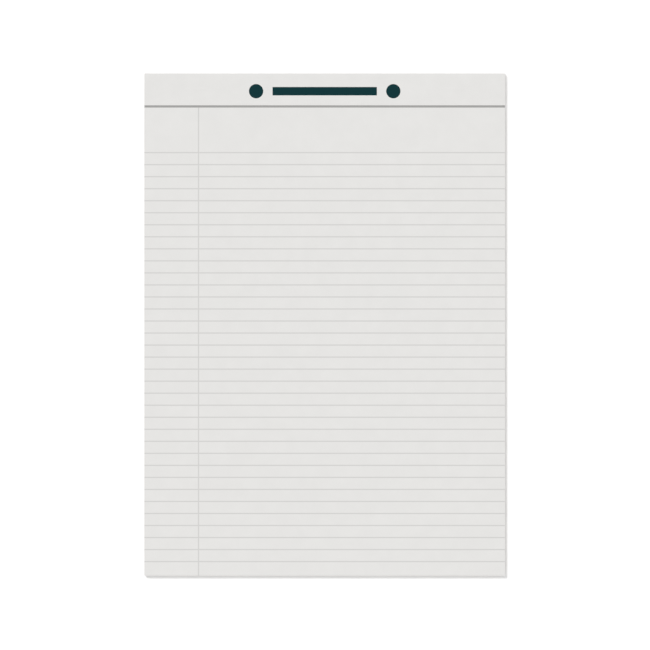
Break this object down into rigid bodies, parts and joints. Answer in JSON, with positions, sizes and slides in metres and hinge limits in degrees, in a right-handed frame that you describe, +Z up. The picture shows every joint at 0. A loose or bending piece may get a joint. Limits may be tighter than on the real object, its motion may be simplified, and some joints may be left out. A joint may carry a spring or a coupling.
{
  "type": "legal pad",
  "caption": "Letter-size ruled writing pad: perforated sheets on a chipboard back, wire-stitched at the head under a folded paper binding tape.",
  "frame": {"origin": "centre of the pad's rectangular outline, on the surface that it lies on", "axes": "+X to the right of the page, +Y to the taped head, +Z up out of the written side"},
  "size_m": [0.2144, 0.2984, 0.0062],
  "materials": {
    "ruled_paper": "matte",
    "chipboard": "matte",
    "binding_tape": "matte",
    "stitch_wire": "satin"
  },
  "bodies": {
    "root": {"page_block": "ruled_paper", "backing_board": "chipboard", "header_tape": "binding_tape", "stitch_left": "stitch_wire", "stitch_middle": "stitch_wire", "stitch_right": "stitch_wire"}
  },
  "joints": []
}
